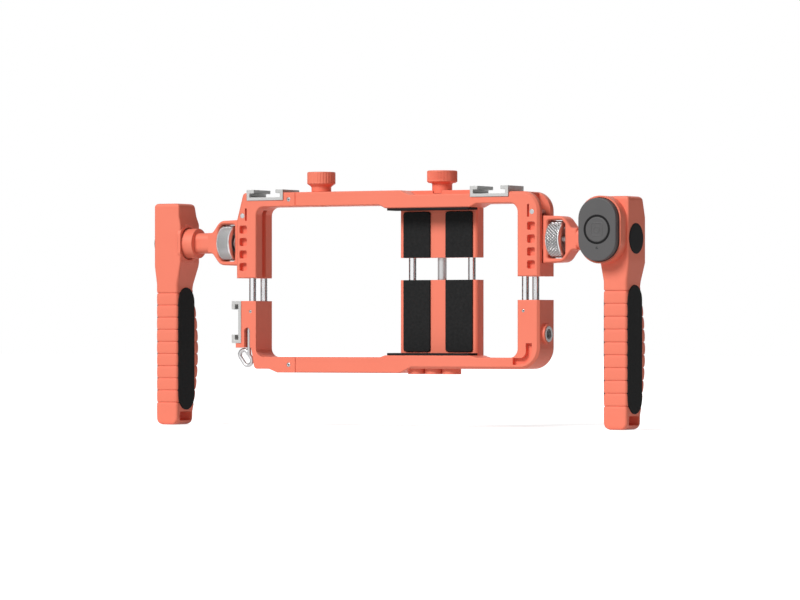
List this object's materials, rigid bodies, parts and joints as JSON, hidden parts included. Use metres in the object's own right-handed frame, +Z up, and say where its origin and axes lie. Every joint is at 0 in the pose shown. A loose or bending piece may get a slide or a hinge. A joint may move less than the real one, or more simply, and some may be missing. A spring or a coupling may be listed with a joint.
{
  "type": "smartphone video rig",
  "caption": "Metal cage that clamps a telephone with a screw-driven jaw, with pivoting side handles, accessory shoes and a wireless shutter remote.",
  "frame": {"origin": "the mouth of the middle tripod socket, under the lower bar", "axes": "+Z up, +X towards the handle with the remote, -Y towards the telephone's screen side"},
  "size_m": [0.2808, 0.0339, 0.1319],
  "materials": {
    "anodised_orange": "satin anodised",
    "rubber_black": "matt",
    "shoe_silver": "satin",
    "rod_chrome": "polished",
    "knurled_steel": "diamond knurled",
    "steel": "satin",
    "black_steel": "black oxide",
    "nut_brass": "machined",
    "cap_black": "matt",
    "remote_grey": "fine texture",
    "board_green": "lacquered",
    "cell_steel": "polished",
    "switch_black": "matt",
    "lens_dark": "smoked"
  },
  "bodies": {
    "lower": {"lower_frame": "anodised_orange", "lower_left_corner": "anodised_orange", "lower_back_plate": "anodised_orange", "lower_back_pads": "rubber_black", "lower_jaw_pad": "rubber_black", "side_guide_rods": "rod_chrome", "middle_guide_rods": "rod_chrome", "rod_set_screws": "black_steel", "lead_nut": "nut_brass", "tripod_inserts": "steel", "side_insert": "steel", "side_cold_shoe": "shoe_silver", "side_shoe_screw": "steel", "lower_corner_screw": "black_steel", "lower_plate_screws": "black_steel"},
    "strap_loop": {"strap_loop": "rod_chrome"},
    "upper": {"upper_frame": "anodised_orange", "upper_left_corner": "anodised_orange", "upper_back_plate": "anodised_orange", "upper_back_pads": "rubber_black", "upper_jaw_pad": "rubber_black", "left_cold_shoe": "shoe_silver", "right_cold_shoe": "shoe_silver", "top_shoe_screws": "steel", "upper_corner_screw": "black_steel", "upper_plate_screws": "black_steel", "strap_pins": "steel"},
    "clamp_screw": {"lead_screw": "steel", "clamp_knob": "anodised_orange"},
    "thumb_screw": {"thumb_knob": "anodised_orange", "thumb_stud": "steel"},
    "left_arm": {"left_arm": "anodised_orange", "left_clamp_stud": "steel", "left_clamp_washer": "steel", "left_pivot_screw": "black_steel"},
    "right_arm": {"right_arm": "anodised_orange", "right_clamp_stud": "steel", "right_clamp_washer": "steel", "right_pivot_screw": "black_steel"},
    "left_wheel": {"left_wheel": "knurled_steel"},
    "right_wheel": {"right_wheel": "knurled_steel"},
    "left_handle": {"left_handle": "anodised_orange", "left_grip_pads": "rubber_black", "left_friction_ring": "cap_black", "left_pivot_cap": "cap_black"},
    "right_handle": {"right_handle": "anodised_orange", "right_grip_pads": "rubber_black", "right_friction_ring": "cap_black", "right_pivot_cap": "cap_black", "remote_cup": "anodised_orange", "cup_screws": "black_steel"},
    "remote": {"remote_case": "remote_grey", "remote_base": "remote_grey", "remote_board": "board_green", "coin_cell": "cell_steel", "tact_switch": "switch_black", "button_ring": "cap_black", "status_led": "lens_dark"},
    "shutter_button": {"remote_button": "remote_grey"}
  },
  "joints": [
    {"name": "clamp_slide", "type": "slide", "parent": "lower", "child": "upper", "axis": [0, 0, 1], "range_m": [-0.011, 0.016]},
    {"name": "clamp_knob_turn", "type": "hinge", "parent": "upper", "child": "clamp_screw", "pos_m": [0, 0.00805, 0.09], "axis": [0, 0, 1], "range_deg": [-1000, 1450]},
    {"name": "thumb_screw_turn", "type": "hinge", "parent": "upper", "child": "thumb_screw", "pos_m": [-0.0673, 0, 0.094], "axis": [0, 0, 1], "continuous": true},
    {"name": "left_arm_slide", "type": "slide", "parent": "upper", "child": "left_arm", "axis": [0, 0, 1], "range_m": [-0.005, 0.002]},
    {"name": "right_arm_slide", "type": "slide", "parent": "upper", "child": "right_arm", "axis": [0, 0, 1], "range_m": [-0.005, 0.002]},
    {"name": "left_wheel_spin", "type": "hinge", "parent": "left_arm", "child": "left_wheel", "pos_m": [-0.1222, 0, 0.0683], "axis": [1, 0, 0], "continuous": true},
    {"name": "right_wheel_spin", "type": "hinge", "parent": "right_arm", "child": "right_wheel", "pos_m": [0.0722, 0, 0.0683], "axis": [1, 0, 0], "continuous": true},
    {"name": "left_handle_pivot", "type": "hinge", "parent": "left_arm", "child": "left_handle", "pos_m": [-0.1567, 0, 0.0683], "axis": [1, 0, 0], "range_deg": [-90, 90]},
    {"name": "right_handle_pivot", "type": "hinge", "parent": "right_arm", "child": "right_handle", "pos_m": [0.1067, 0, 0.0683], "axis": [1, 0, 0], "range_deg": [-90, 90]},
    {"name": "remote_pull", "type": "slide", "parent": "right_handle", "child": "remote", "axis": [0, -1, 0], "range_m": [0, 0.012]},
    {"name": "button_press", "type": "slide", "parent": "remote", "child": "shutter_button", "axis": [0, 1, 0], "range_m": [0, 0.0006], "stiffness_N_per_m": 1500, "springref_m": -0.0003},
    {"name": "strap_loop_swing", "type": "hinge", "parent": "lower", "child": "strap_loop", "pos_m": [-0.1076, -0.0059, 0.02], "axis": [0, 0, 1], "range_deg": [-90, 100]}
  ],
  "couplings": [
    {"joint": "clamp_knob_turn", "follows": "clamp_slide", "rad_per_m": 1570.8}
  ]
}
